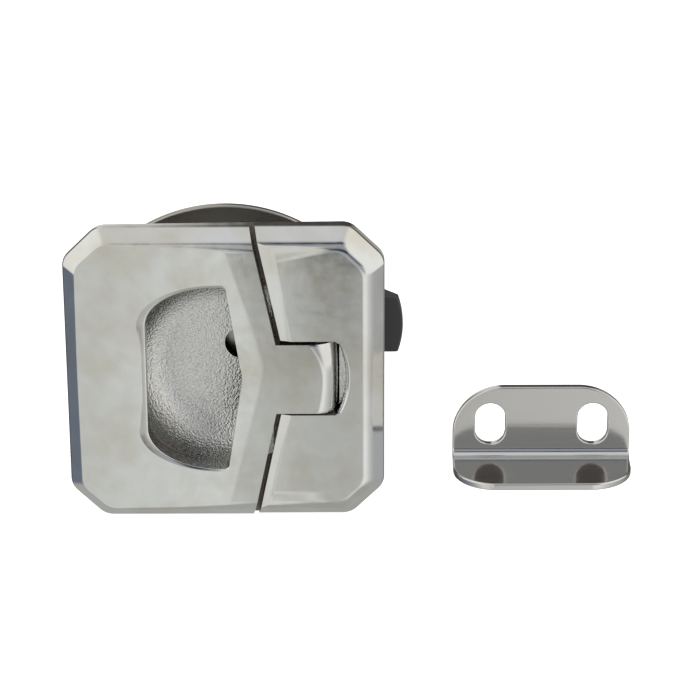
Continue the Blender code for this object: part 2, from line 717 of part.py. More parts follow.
def main():
    clear_scene()
    cast_steel = material("polished_cast_stainless", (0.56, 0.56, 0.55), 0.18, 1.0)
    sheet_steel = material("stainless_sheet", (0.50, 0.50, 0.50), 0.28, 1.0)
    spring_steel = material("spring_wire", (0.40, 0.40, 0.41), 0.35, 1.0)
    acetal = material("black_acetal", (0.045, 0.042, 0.045), 0.45, 0.0)
    nylon = material("black_nylon", (0.03, 0.03, 0.03), 0.6, 0.0)

    hinge = make_empty("handle_axis", PIVOT)
    slide = make_empty("bolt_axis", DRIVE_PIN)
    strike_seat = make_empty("strike_axis", (STRIKE_LEFT + STRIKE_WIDTH / 2, 0.0, SLOT_CENTRE_Z))

    make_housing(cast_steel)
    make_handle(cast_steel, hinge)
    make_pivot_pin(sheet_steel)
    make_handle_spring(spring_steel)
    make_mounting_plate(sheet_steel)
    make_bolt_case(nylon)
    make_case_cover(sheet_steel)
    flange_back = CASE_FRONT + CASE_FLANGE
    washer_front = flange_back + GAP
    clamp_seat = washer_front + WASHER_THICK + GAP
    for number, place in enumerate(CLAMP_PLACES, start=1):
        make_washer(f"clamp_washer_{number}", place, washer_front, sheet_steel)
        make_screw(f"clamp_screw_{number}", place, clamp_seat, CLAMP_SCREW, sheet_steel)
    cover_seat = CASE_BACK + GAP + COVER_THICK + GAP
    for number, place in enumerate(COVER_SCREW_PLACES, start=1):
        make_screw(f"cover_screw_{number}", place, cover_seat, COVER_SCREW, sheet_steel)
    make_bolt(acetal, slide)
    make_drive_pin(spring_steel, slide)
    make_bolt_spring(spring_steel)
    make_strike(sheet_steel, strike_seat)


main()
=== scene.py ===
# %% [markdown]
# # A flush slam latch in polished cast steel
#
# The latch sits in a round hole in a boat's locker door. Its square front is in two castings: a housing
# that stays still, and a handle hinged in it by a tongue. Lifting the handle's left edge swings a finger
# behind the panel, and the finger pulls a sprung black bolt back. Beside the latch lies the bent strike
# that the bolt catches. Nearly all that shows is polished stainless steel, so its look is made by
# reflections: surfaces have to be truly flat or truly curved, edges need their small radii, and the room
# around the object has to be worth reflecting.

import json
import math

import bmesh
import bpy
from mathutils import Matrix, Vector


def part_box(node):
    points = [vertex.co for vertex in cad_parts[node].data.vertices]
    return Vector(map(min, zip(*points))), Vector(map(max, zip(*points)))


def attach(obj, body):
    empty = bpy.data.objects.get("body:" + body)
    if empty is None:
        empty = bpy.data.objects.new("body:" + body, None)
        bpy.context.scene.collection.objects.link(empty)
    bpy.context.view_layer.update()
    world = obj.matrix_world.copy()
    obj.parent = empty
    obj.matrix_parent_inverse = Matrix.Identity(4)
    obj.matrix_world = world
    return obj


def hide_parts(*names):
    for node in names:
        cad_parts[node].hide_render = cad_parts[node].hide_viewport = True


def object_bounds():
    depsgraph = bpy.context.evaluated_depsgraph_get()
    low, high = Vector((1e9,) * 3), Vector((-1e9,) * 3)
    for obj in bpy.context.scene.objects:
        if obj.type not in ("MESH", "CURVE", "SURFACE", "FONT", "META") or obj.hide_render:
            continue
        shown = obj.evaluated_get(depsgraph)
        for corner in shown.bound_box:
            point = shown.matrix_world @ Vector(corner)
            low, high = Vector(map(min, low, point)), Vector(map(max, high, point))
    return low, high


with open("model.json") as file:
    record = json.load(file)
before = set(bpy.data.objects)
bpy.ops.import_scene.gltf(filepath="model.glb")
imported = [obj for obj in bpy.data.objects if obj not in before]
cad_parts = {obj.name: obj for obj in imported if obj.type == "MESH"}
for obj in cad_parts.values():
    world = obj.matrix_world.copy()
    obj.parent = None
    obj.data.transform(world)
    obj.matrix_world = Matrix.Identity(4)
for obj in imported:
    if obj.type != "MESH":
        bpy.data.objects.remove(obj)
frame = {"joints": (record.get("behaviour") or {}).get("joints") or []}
cad_low, cad_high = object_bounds()
MM = 0.001
print("CAD box in mm:", [round(v / MM, 2) for v in (*cad_low, *cad_high)])

# %% [markdown]
# ## Driving sizes
#
# The overall sizes come from the boxes of the CAD nodes and from the joints, and the ones that a box can't
# tell (radii, the seam's slope, holes and pockets) are stated where they are first needed.

# %% Sizes read from the frame
handle_low, handle_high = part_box("handle")
housing_low, housing_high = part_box("housing")
plate_low, plate_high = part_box("mounting_plate")
bolt_low, bolt_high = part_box("bolt")
strike_low, strike_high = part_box("strike")
joints = {joint["name"]: joint for joint in frame["joints"]}
PIVOT = Vector(joints["handle_lift"]["pos_m"])

HALF = housing_high.x
BLOCK_FACE = housing_low.y
BARREL_END = housing_high.y
HANDLE_FACE = handle_low.y
FLANGE = 1.6 * MM
GAP = 0.3 * MM
HANDLE_BACK = -(FLANGE + GAP)
FINGER_END = handle_high.y
print("front half-width", round(HALF / MM, 2), "handle face", round(HANDLE_FACE / MM, 2))
print("hinge pin at", [round(v / MM, 2) for v in PIVOT])

# %% [markdown]
# ## Building with rings
#
# Castings and turned parts are both easy to make as lofts: a stack of closed rings with the same number of
# points, joined by quads and capped at the ends. A turned part's rings are circles, the front's rings are
# octagons that shrink as they reach the face, and a wire's rings follow its path. Holes and pockets are
# then cut with Booleans.

# %% Lofts and prisms


def loft(rings):
    made = bmesh.new()
    rows = [[made.verts.new(point) for point in ring] for ring in rings]
    count = len(rows[0])
    for near, far in zip(rows, rows[1:]):
        for i in range(count):
            j = (i + 1) % count
            made.faces.new((near[i], near[j], far[j], far[i]))
    made.faces.new(rows[0][::-1])
    made.faces.new(rows[-1])
    bmesh.ops.recalc_face_normals(made, faces=made.faces)
    return made


def prism_y(outline, near, far):
    return loft([[(x, y, z) for x, z in outline] for y in (near, far)])


def prism_z(outline, low, high):
    return loft([[(x, y, z) for x, y in outline] for z in (low, high)])


def arc(centre, radii, start, end, count):
    points = []
    for i in range(count + 1):
        angle = math.radians(start + (end - start) * i / count)
        points.append((centre[0] + radii[0] * math.cos(angle), centre[1] + radii[1] * math.sin(angle)))
    return points


def circle(centre, radius, count):
    return arc(centre, (radius, radius), 0, 360, count)[:-1]


def turned_y(centre, profile, count=64):
    """A turned body along Y; profile is a list of (radius, y)."""
    return loft([[(x, y, z) for x, z in circle(centre, radius, count)] for radius, y in profile])


def turned_z(centre, profile, count=48):
    return loft([[(x, y, z) for x, y in circle(centre, radius, count)] for radius, z in profile])


def box(low, high):
    made = bmesh.new()
    bmesh.ops.create_cube(made, size=1.0)
    bmesh.ops.scale(made, vec=[b - a for a, b in zip(low, high)], verts=made.verts)
    bmesh.ops.translate(made, vec=[(a + b) / 2 for a, b in zip(low, high)], verts=made.verts)
    return made


def hull(points):
    made = bmesh.new()
    for point in points:
        made.verts.new(point)
    bmesh.ops.convex_hull(made, input=made.verts)
    return made


print("a test circle has", len(circle((0, 0), MM, 12)), "points")

# %% [markdown]
# Folded, moulded and turned parts all need corners with a true radius. One helper takes a polyline and
# replaces its inner corners with arcs, which is neater than a bevel, because the outline is known before
# there is a mesh.

# %% Rounded outlines


def rounded(corners, radii, steps):
    """A polyline with its inner corners replaced by arcs; corners are (a, b) pairs."""
    points = [corners[0]]
    for before, corner, after, radius in zip(corners, corners[1:], corners[2:], radii):
        here = Vector(corner)
        back = (Vector(before) - here).normalized()
        ahead = (Vector(after) - here).normalized()
        half_angle = back.angle(ahead) / 2
        reach = radius / math.tan(half_angle)
        centre = here + (back + ahead).normalized() * (radius / math.sin(half_angle))
        start, end = here + back * reach - centre, here + ahead * reach - centre
        for i in range(steps + 1):
            share = i / steps
            angle = start.angle(end)
            spoke = (math.sin((1 - share) * angle) * start + math.sin(share * angle) * end) / math.sin(angle)
            points.append(tuple(centre + spoke))
    points.append(corners[-1])
    return points


print("a rounded test corner has", len(rounded([(0.0, 0.0), (1.0, 0.0), (1.0, 1.0)], (0.2,), 5)), "points")

# %% [markdown]
# A lofted mesh becomes an object, and cutters are then used up one at a time. The exact solver is slower
# than the fast one, but it keeps faces that only just touch.

# %% Objects and Booleans


def mesh_object(name, mesh_data):
    mesh = bpy.data.meshes.new(name)
    mesh_data.to_mesh(mesh)
    mesh_data.free()
    made = bpy.data.objects.new(name, mesh)
    bpy.context.scene.collection.objects.link(made)
    return made


def apply_modifiers(piece):
    """Bakes the modifier stack into the mesh, so that cutters can be thrown away."""
    depsgraph = bpy.context.evaluated_depsgraph_get()
    mesh = bpy.data.meshes.new_from_object(piece.evaluated_get(depsgraph))
    piece.modifiers.clear()
    piece.data = mesh


def boolean(piece, other_mesh, operation="DIFFERENCE"):
    other = other_mesh if isinstance(other_mesh, bpy.types.Object) else mesh_object("cutter", other_mesh)
    step = piece.modifiers.new("cut", "BOOLEAN")
    step.operation = operation
    step.solver = "EXACT"
    step.object = other
    apply_modifiers(piece)
    bpy.data.objects.remove(other)


print("Booleans use the exact solver")

# %% [markdown]
# Last come the edges. A real edge is never sharp, and its small radius catches the light. Weighted normals
# then keep the big faces flat beside those narrow ones.

# %% Edge radii and smooth shading


def finish_edges(piece, width, angle=32, segments=2):
    """The small radius that casting and polishing leave on every edge, with flat faces kept flat."""
    bevel = piece.modifiers.new("edge radius", "BEVEL")
    bevel.width = width
    bevel.segments = segments
    bevel.limit_method = "ANGLE"
    bevel.angle_limit = math.radians(angle)
    bevel.miter_outer = "MITER_ARC"
    bevel.use_clamp_overlap = True
    apply_modifiers(piece)
    smooth(piece, angle)


def smooth(piece, angle=32):
    piece.data.shade_smooth()
    piece.data.set_sharp_from_angle(angle=math.radians(angle))
    weighted = piece.modifiers.new("flat faces stay flat", "WEIGHTED_NORMAL")
    weighted.mode = "FACE_AREA"
    weighted.weight = 80
    weighted.keep_sharp = True
    apply_modifiers(piece)


print("edges are rounded where faces meet at more than 32 degrees")

# %% [markdown]
# ## The shared outlines
#
# Handle and housing were designed as one square with cut corners, then parted along a seam. The seam is a
# chevron that meets the tongue, so both castings take their edges from the same few functions.

# %% Outline functions
CORNER_LEG = 6.8 * MM
CORNER_RADIUS = 4.0 * MM
BEVEL = 3.1 * MM
TONGUE_HALF = 7.6 * MM
SOCKET_HALF = 8.2 * MM
SEAM_KINK = (10.1 * MM, 8.0 * MM)
SEAM_END = 5.2 * MM
SEAM_GAP = 1.1 * MM
SOCKET_SPAN = (6.0 * MM, 22.0 * MM)
SOCKET_CENTRE = (20.2 * MM, 0.0)
SOCKET_BULGE = (4.0 * MM, 9.6 * MM)
WINDOW_LEFT = -15.7 * MM
WINDOW_TOP_X = 0.3 * MM
WINDOW_APEX_X = 3.5 * MM
WINDOW_HALF = 20.1 * MM
WINDOW_STRAIGHT = 11.5 * MM
WINDOW_CENTRE_X = -1.2 * MM


def octagon(inset, half=HALF):
    half = half - inset
    leg = CORNER_LEG - inset * (2 - math.sqrt(2))
    radius = CORNER_RADIUS
    near = half - leg
    corners = []
    for sx, sz in ((1, 1), (-1, 1), (-1, -1), (1, -1)):
        pair = [(sx * half, sz * near), (sx * near, sz * half)]
        corners += pair if sx * sz > 0 else pair[::-1]
    points = []
    steps = 8
    turn = math.radians(45)
    for i, (x, z) in enumerate(corners):
        middle = math.radians(22.5) + i * turn
        reach = radius / math.cos(turn / 2)
        cx, cz = x - reach * math.cos(middle), z - reach * math.sin(middle)
        for k in range(steps + 1):
            angle = middle + turn * (k / steps - 0.5)
            points.append((cx + radius * math.cos(angle), cz + radius * math.sin(angle)))
    return points


def pillow(back, face, soft_back):
    """The bevelled block: rim, 45 degree band with softened edges, flat face."""
    corners = [(0.0, back - face), (0.0, BEVEL), (BEVEL, 0.0), (2.2 * BEVEL, 0.0)]
    profile = rounded(corners, (1.2 * MM, 3.4 * MM), 7)
    rings = [[(x, back, z) for x, z in octagon(soft_back)]]
    rings += [[(x, face + depth, z) for x, z in octagon(inset)] for inset, depth in profile]
    return loft(rings)


def seam_x(z, shift):
    run = (SEAM_KINK[0] - SEAM_END) / (HALF - SEAM_KINK[1])
    return SEAM_KINK[0] + shift - run * (abs(z) - SEAM_KINK[1])


def half_outline(side, shift, kink_z):
    far = 40 * MM
    line = [(seam_x(far, shift), far), (seam_x(kink_z, shift), kink_z)]
    line += [(x, -z) for x, z in reversed(line)]
    return line + [(side * far, -far), (side * far, far)]


def socket_outline(steps=20):
    bulge = arc(SOCKET_CENTRE, SOCKET_BULGE, -56.0, 56.0, steps)
    left, right = SOCKET_SPAN
    lower = [(left, -SOCKET_HALF), (right, -SOCKET_HALF)]
    return lower + bulge + [(right, SOCKET_HALF), (left, SOCKET_HALF)]


def window_outline(grow, steps=20):
    left = WINDOW_LEFT - grow
    top = WINDOW_HALF + 0.3 * grow
    right, apex = WINDOW_TOP_X, WINDOW_APEX_X
    radii = (WINDOW_CENTRE_X - left, top - WINDOW_STRAIGHT)
    upper = arc((WINDOW_CENTRE_X, WINDOW_STRAIGHT), radii, 90, 180, steps)
    lower = [(x, -z) for x, z in reversed(upper)]
    corners = [lower[-1], (right, -top), (apex, 0.0), (right, top), upper[0]]
    return upper + lower + rounded(corners, (1.0 * MM, 4.0 * MM, 1.0 * MM), 6)[1:-1]


print("points: front", len(octagon(0.0)), "socket", len(socket_outline()), "window", len(window_outline(0.0)))

# %% [markdown]
# ## The handle
#
# The handle's face isn't quite flat. Left of a chevron ridge it falls away by about a degree, enough for
# the two sides of the ridge to mirror different parts of the room. Bending a fine grid would do it, but the
# grid's edges would run into the seam and spoil its radius. So the low side is milled off, with a cutter
# that has the slope below it. The window's rim dips a little more, like an edge that the buffing wheel has
# leant on.

# %% The sloping face
RIDGE_APEX = (8.0 * MM, 2.5 * MM)
RIDGE_RUN_UP = 0.31
RIDGE_RUN_DOWN = 0.25
RIDGE_SLOPE = math.tan(math.radians(1.2))
RIDGE_SOFT = 0.8 * MM
APEX_SOFT = 2.0 * MM


def ridge_x(z):
    dz = z - RIDGE_APEX[1]
    run = RIDGE_RUN_UP if dz > 0 else RIDGE_RUN_DOWN
    return RIDGE_APEX[0] - run * (math.sqrt(dz * dz + APEX_SOFT * APEX_SOFT) - APEX_SOFT)


def fallen(x, z):
    """Where the face lies: flat right of the ridge, sloping left of it, at half slope just beside it."""
    far = max(ridge_x(z) - x, 0.0)
    return HANDLE_FACE + RIDGE_SLOPE * (far / 2 if far < RIDGE_SOFT else far - RIDGE_SOFT / 2)


def slope_cutter(steps=5):
    """Stations along Z, closest at the ridge's apex, where its line bends."""
    rings = []
    top = HANDLE_FACE - 3 * MM
    past = MM
    for i in range(-steps, steps + 1):
        z = RIDGE_APEX[1] + 1.15 * HALF * abs(i) * i / steps**2
        crest, left = ridge_x(z), -HALF - 2 * MM
        lifted = HANDLE_FACE - RIDGE_SLOPE * past / 2
        line = [(left, fallen(left, z)), (crest - RIDGE_SOFT, fallen(crest - RIDGE_SOFT, z))]
        line += [(crest + past, lifted), (crest + past, top), (left, top)]
        rings.append([(x, y, z) for x, y in line])
    return loft(rings)


print("the face falls", round((fallen(-HALF, 0.0) - HANDLE_FACE) / MM, 2), "mm by its left edge")

# %% [markdown]
# The handle narrows to a tongue, whose nose is rolled about the hinge pin so that it clears the socket as
# it turns. On its back stands the finger that pulls the bolt.

# %% Tongue and finger
TONGUE_ROOT = 9.6 * MM
TONGUE_FLAT_END = 19.4 * MM
NOSE_RADIUS = 3.6 * MM
TONGUE_BACK = (13.6 * MM, 1.4 * MM)
FINGER_OFFSET = 1.3 * MM
FINGER_HALF = 1.5 * MM
FINGER_SPAN = 2.8 * MM
FINGER_ROOT = 0.4 * MM
FINGER_TAPER = 9 * MM
PIN_BORE = 1.8 * MM
SPRING_BAY = (-7.0 * MM, -3.2 * MM)
SPRING_BAY_RADIUS = 2.75 * MM


def tongue_rings(stations=24):
    """Sections across the tongue: a flat top, then a nose rolled about the hinge pin."""
    rings = []
    for i in range(stations + 1):
        z = -TONGUE_HALF + 2 * TONGUE_HALF * i / stations
        share = (z / TONGUE_HALF) ** 2
        flat_end = TONGUE_FLAT_END - (3.0 if z > 0 else 1.1) * MM * share
        nose = PIVOT.x + NOSE_RADIUS - 0.3 * MM * share
        front = arc((flat_end, PIVOT.y), (nose - flat_end, PIVOT.y - HANDLE_FACE), -90, 0, 18)
        back = arc((PIVOT.x, PIVOT.y), (nose - PIVOT.x, NOSE_RADIUS), 0, 90, 10)
        outline = [(TONGUE_ROOT, HANDLE_FACE)] + front + back[1:]
        outline += [TONGUE_BACK, (TONGUE_BACK[0], HANDLE_BACK), (TONGUE_ROOT, HANDLE_BACK)]
        rings.append([(x, y, z) for x, y in outline])
    return rings


def finger_outline():
    left = PIVOT.x - FINGER_OFFSET
    right = left + 2 * FINGER_HALF
    tip = arc(((left + right) / 2, FINGER_END - FINGER_HALF), (FINGER_HALF, FINGER_HALF), 0, 180, 16)
    foot = [(left - 2.2 * MM, FINGER_ROOT), (right + 1.6 * MM, FINGER_ROOT)]
    return foot + [(right, FINGER_TAPER)] + tip + [(left, FINGER_TAPER)]


print("the finger reaches", round(FINGER_END / MM, 2), "mm behind the panel's face")

# %% [markdown]
# The body is the bevelled block, milled to its slope and parted at the seam. The window's cutter flares at
# the front into a shallow lip, and ends in a small rim, so the cut leaves the worn edge that buffing gives.

# %% Handle
LIP_WIDTH = 2.1 * MM
LIP_ANGLES = (2.3, 3.8)
RIM_RADIUS = 0.35 * MM
handle = mesh_object("lift_handle_casting", pillow(HANDLE_BACK, HANDLE_FACE, 0.15 * MM))
boolean(handle, slope_cutter())
boolean(handle, prism_y(half_outline(-1, 0.0, TONGUE_HALF), -9 * MM, 2 * MM), "INTERSECT")
window_rings = [[(x, HANDLE_FACE - 2 * MM, z) for x, z in window_outline(LIP_WIDTH)]]
first, last = [math.tan(math.radians(angle)) for angle in LIP_ANGLES]
profile = []
for i in range(7):
    share = i / 6
    dip = LIP_WIDTH * (first * share + (last - first) * share * share / 2) - 0.01 * MM
    profile.append((RIM_RADIUS + (LIP_WIDTH - RIM_RADIUS) * (1 - share), dip))
for i in range(1, 7):
    angle = math.radians(LIP_ANGLES[1] + (90 - LIP_ANGLES[1]) * i / 6)
    profile.append((RIM_RADIUS * (1 - math.sin(angle)), dip + RIM_RADIUS * (1 - math.cos(angle))))
for grow, depth in profile:
    window_rings.append([(x, fallen(x, z) + depth, z) for x, z in window_outline(grow)])
window_rings.append([(x, HANDLE_BACK + MM, z) for x, z in window_outline(0.0)])
boolean(handle, loft(window_rings))
boolean(handle, loft(tongue_rings()), "UNION")
boolean(handle, prism_z(finger_outline(), -FINGER_SPAN, FINGER_SPAN), "UNION")
boolean(handle, turned_z(PIVOT, ((PIN_BORE, -9 * MM), (PIN_BORE, 9 * MM)), 32))
bay = arc((PIVOT.x, PIVOT.y), (SPRING_BAY_RADIUS, SPRING_BAY_RADIUS), 180, 360, 20)
bay += [(PIVOT.x + SPRING_BAY_RADIUS, 3 * MM), (PIVOT.x - SPRING_BAY_RADIUS, 3 * MM)]
boolean(handle, prism_z(bay, *SPRING_BAY))
finish_edges(handle, 0.3 * MM, segments=3)
print("handle faces:", len(handle.data.polygons))

# %% [markdown]
# ## The housing
#
# One casting holds the fixed half of the front, the flange under the handle, the finger cup and the barrel.
# The cup is a round bowl with a large fillet, so it is turned like a pot, and cut off where the hinge's
# socket begins.

# %% Finger cup
CUP_FLOOR = 6.2 * MM
CUP_RADIUS = 20.6 * MM
CUP_FILLET = 9.0 * MM
CUP_RIGHT = 9.5 * MM
CUP_HOLE = (3.1 * MM, 2.75 * MM)
CUP_HOLE_RADIUS = 3.5 * MM
bowl_profile = [(CUP_RADIUS, HANDLE_BACK - MM)]
bowl_profile += arc((CUP_RADIUS - CUP_FILLET, CUP_FLOOR - CUP_FILLET), (CUP_FILLET, CUP_FILLET), 0, 90, 24)
bowl = mesh_object("bowl", turned_y((0, 0), bowl_profile, 144))
boolean(bowl, box((-HALF, -9 * MM, -HALF), (CUP_RIGHT, BARREL_END, HALF)), "INTERSECT")

print("cup:", round((CUP_FLOOR + FLANGE) / MM, 2), "mm deep from the flange")

# %% [markdown]
# The flange, the fixed half and the barrel are joined first, and then everything hollow is cut: the seam's
# chamfer, the hinge socket with its worn lip, the well for the finger, the cup, and the holes for pin and
# screws.

# %% Housing
BARREL_RADIUS = 24.8 * MM
WELL_LEFT = 12 * MM
WELL_RIGHT = 22.9 * MM
PIN_BORE_ENDS = (-13.3 * MM, 12.9 * MM)
CLAMP_HOLE = 2.3 * MM
CLAMPS = [(sx * 13.2 * MM, sz * 16.6 * MM) for sx in (1, -1) for sz in (1, -1)]
SEAM_CHAMFER = 0.6 * MM
SEAM_CHAMFER_WIDTHS = {1: (2.2 * MM, 3.3 * MM), -1: (2.0 * MM, 1.8 * MM)}
SOCKET_LIP = ((1.2, -0.4), (0.9, 0.0), (0.55, 0.15), (0.25, 0.45), (0.0, 0.9))
left_rim = [(x, z) for x, z in octagon(0.5 * MM) if x < 0]
right_rim = [(x, z) for x, z in octagon(0.0) if x > 0]
base_outline = [p for p in right_rim if p[1] < 0] + [p for p in right_rim if p[1] > 0] + left_rim
housing = mesh_object("housing_casting", prism_y(base_outline, -FLANGE, 0.0))
block = mesh_object("fixed_half", pillow(-0.4 * MM, BLOCK_FACE, 0.0))
boolean(block, prism_y(half_outline(1, SEAM_GAP, SOCKET_HALF), -9 * MM, 2 * MM), "INTERSECT")
boolean(housing, block, "UNION")
boolean(housing, turned_y((0, 0), ((BARREL_RADIUS, -0.8 * MM), (BARREL_RADIUS, BARREL_END)), 128), "UNION")
for side in (1, -1):
    ends = []
    for z, wide in zip((SOCKET_HALF - MM, HALF + MM), SEAM_CHAMFER_WIDTHS[side]):
        edge = seam_x(z, SEAM_GAP)
        for x, depth in ((edge - 2 * MM, -MM), (edge + wide, 0.0), (edge + wide, -MM)):
            ends.append((x, BLOCK_FACE + depth, side * z))
        ends.append((edge, BLOCK_FACE + SEAM_CHAMFER, side * z))
        ends.append((edge - 2 * MM, BLOCK_FACE + SEAM_CHAMFER, side * z))
    boolean(housing, hull(ends))
boolean(housing, prism_y(socket_outline(), -9 * MM, -FLANGE))
well = [(min(max(x, WELL_LEFT), WELL_RIGHT), z) for x, z in socket_outline()]
boolean(housing, prism_y(well, -FLANGE - MM, BARREL_END + MM))
lip_rings = []
for grow, depth in SOCKET_LIP:
    curve = arc(SOCKET_CENTRE, (SOCKET_BULGE[0] + grow * MM, SOCKET_BULGE[1]), -54.0, 54.0, 30)
    outline = [(17 * MM, curve[0][1])] + curve + [(17 * MM, curve[-1][1])]
    lip_rings.append([(x, BLOCK_FACE + depth * MM, z) for x, z in outline])
boolean(housing, loft(lip_rings))
boolean(housing, bowl)
hole = ((CUP_HOLE_RADIUS, 4.2 * MM), (CUP_HOLE_RADIUS, BARREL_END + MM))
boolean(housing, turned_y(CUP_HOLE, hole, 48))
boolean(housing, turned_z(PIVOT, [(PIN_BORE, z) for z in PIN_BORE_ENDS], 32))
for place in CLAMPS:
    boolean(housing, turned_y(place, ((CLAMP_HOLE, 5.0 * MM), (CLAMP_HOLE, BARREL_END + MM)), 32))
finish_edges(housing, 0.25 * MM)
print("housing faces:", len(housing.data.polygons))

# %% [markdown]
# ## The bolt
#
# The bolt is moulded in black acetal, a plastic that slides well without grease. Its front face is flat, to
# hold the strike, its back is a ramp, so that a slamming door pushes it in, and its tip bulges a little. A
# loft across its width gives all three, and the pocket for the finger is cut afterwards.

# %% Bolt
BOLT_TAIL = 6.0 * MM
BOLT_NOSE = 1.8 * MM
BOLT_BULGE = 1.0 * MM
DRIVE_PIN = (16.0 * MM, 23.6 * MM)
POCKET_RIGHT = 29 * MM
POCKET_HALF = 3.4 * MM
bolt_half = (bolt_high.z - bolt_low.z) / 2
bolt_front, bolt_back = bolt_low.y, bolt_high.y
rings = []
for i in range(25):
    z = -bolt_half + 2 * bolt_half * i / 24
    tip = bolt_high.x - BOLT_BULGE * (z / bolt_half) ** 2
    nose = bolt_front + BOLT_NOSE
    corners = [(BOLT_TAIL, bolt_front), (tip, bolt_front), (tip, nose), (tip - (bolt_back - nose), bolt_back)]
    corners.append((BOLT_TAIL, bolt_back))
    outline = rounded(corners, (0.5 * MM, 0.8 * MM, 0.3 * MM), 5)
    rings.append([(x, y, z) for x, y in outline])
bolt = mesh_object("slam_bolt_moulding", loft(rings))
pocket_low = (DRIVE_PIN[0] - 2.0 * MM, bolt_front - MM, -POCKET_HALF)
boolean(bolt, box(pocket_low, (POCKET_RIGHT, FINGER_END + 0.5 * MM, POCKET_HALF)))
boolean(bolt, turned_z(DRIVE_PIN, ((PIN_BORE, -bolt_half - MM), (PIN_BORE, bolt_half - 0.8 * MM)), 32))
spigot_rings = []
for radius, x in ((1.5 * MM, 2.0 * MM), (1.85 * MM, 2.15 * MM), (2.0 * MM, 2.5 * MM), (2.0 * MM, 8 * MM)):
    points = circle(((bolt_front + bolt_back) / 2, 0.0), radius, 32)
    spigot_rings.append([(x, y, z) for y, z in points])
boolean(bolt, loft(spigot_rings), "UNION")
finish_edges(bolt, 0.35 * MM, segments=3)
print("bolt reaches", round((bolt_high.x - HALF) / MM, 2), "mm past the front's edge")

# %% [markdown]
# ## The strike
#
# The strike is a strip of sheet folded once, with two slots for screws. Folding leaves a round inside
# corner, which shows as a bright line, and tumbling the blank leaves all its edges round. The section is
# lofted along X, then the corners and slots are cut.

# %% Strike
SHEET = 1.5 * MM
BEND = 1.6 * MM
TOP_CORNERS = (10.6 * MM, 10.2 * MM)
FRONT_CORNERS = (8.5 * MM, 8.0 * MM)
SLOT_Z = -12.15 * MM
SLOT_OFFSET = 10.4 * MM
SLOT_RADIUS = 3.05 * MM
SLOT_STRAIGHT = 1.5 * MM
strike_left, strike_right = strike_low.x, strike_high.x
strike_mid = (strike_left + strike_right) / 2
strike_top, strike_floor = strike_high.z, strike_low.z + SHEET
strike_front = strike_low.y
outer = BEND + SHEET
bend_centre = (-outer, strike_floor + BEND)
section = [(0.0, strike_top)] + arc(bend_centre, (outer, outer), 0, -90, 14)
section += [(strike_front, strike_floor - SHEET), (strike_front, strike_floor)]
section += arc(bend_centre, (BEND, BEND), -90, 0, 14) + [(-SHEET, strike_top)]
blank = loft([[(x, y, z) for y, z in section] for x in (strike_left, strike_right)])
strike = mesh_object("folded_strike", blank)


def corner_loss(x, end, sx, sign, radii):
    """What a rounded corner takes off: a square less an elliptical quarter."""
    cx, cz = x - sx * radii[0], end - sign * radii[1]
    points = [(cx + sx * px, cz + sign * pz) for px, pz in arc((0, 0), radii, 0, 90, 24)]
    return points + [(cx, end + sign * MM), (x + sx * MM, end + sign * MM), (x + sx * MM, cz)]


for x, sx in ((strike_left, -1), (strike_right, 1)):
    boolean(strike, prism_y(corner_loss(x, strike_top, sx, 1, TOP_CORNERS), -5 * MM, 5 * MM))
    lost = corner_loss(x, strike_front, sx, -1, FRONT_CORNERS)
    boolean(strike, prism_z(lost, strike_floor - 5 * MM, strike_floor + 1.2 * MM))
    slot_x = strike_mid + sx * SLOT_OFFSET
    slot = arc((slot_x, SLOT_Z + SLOT_STRAIGHT), (SLOT_RADIUS, SLOT_RADIUS), 0, 180, 24)
    slot += arc((slot_x, SLOT_Z - SLOT_STRAIGHT), (SLOT_RADIUS, SLOT_RADIUS), 180, 360, 24)
    boolean(strike, prism_y(slot, -5 * MM, 5 * MM))
finish_edges(strike, 0.32 * MM, segments=3)
print("strike", round((strike_right - strike_left) / MM, 1), "mm wide,", len(strike.data.polygons), "faces")

# %% [markdown]
# ## Plate, case and cover
#
# Behind the panel a round plate clamps the latch. It is a blanked disc of sheet, but a disc is easiest to
# loft as if it were turned, because its rim then has a real radius.

# %% Mounting plate
PLATE_SLOT = (8.5 * MM, 23.0 * MM)
PLATE_SLOT_HALF = 5.5 * MM
plate_radius = plate_high.x
front, back = plate_low.y, plate_high.y
path = [(10 * MM, front), (plate_radius, front), (plate_radius, back), (10 * MM, back)]
rim = rounded(path, (0.5 * MM, 0.5 * MM), 5)
clamp_plate = mesh_object("clamping_plate", turned_y((0, 0), rim, 160))
slot_low = (PLATE_SLOT[0], front - MM, -PLATE_SLOT_HALF)
boolean(clamp_plate, box(slot_low, (PLATE_SLOT[1], back + MM, PLATE_SLOT_HALF)))
for place in CLAMPS:
    boolean(clamp_plate, turned_y(place, ((CLAMP_HOLE, front - MM), (CLAMP_HOLE, back + MM)), 40))
smooth(clamp_plate)
print("plate", round(2 * plate_radius / MM, 1), "mm across")

# %% [markdown]
# A moulded case guides the bolt. It is a disc and a box joined, hollowed by the bolt's channel, and a sheet
# cover with rounded corners closes its back.

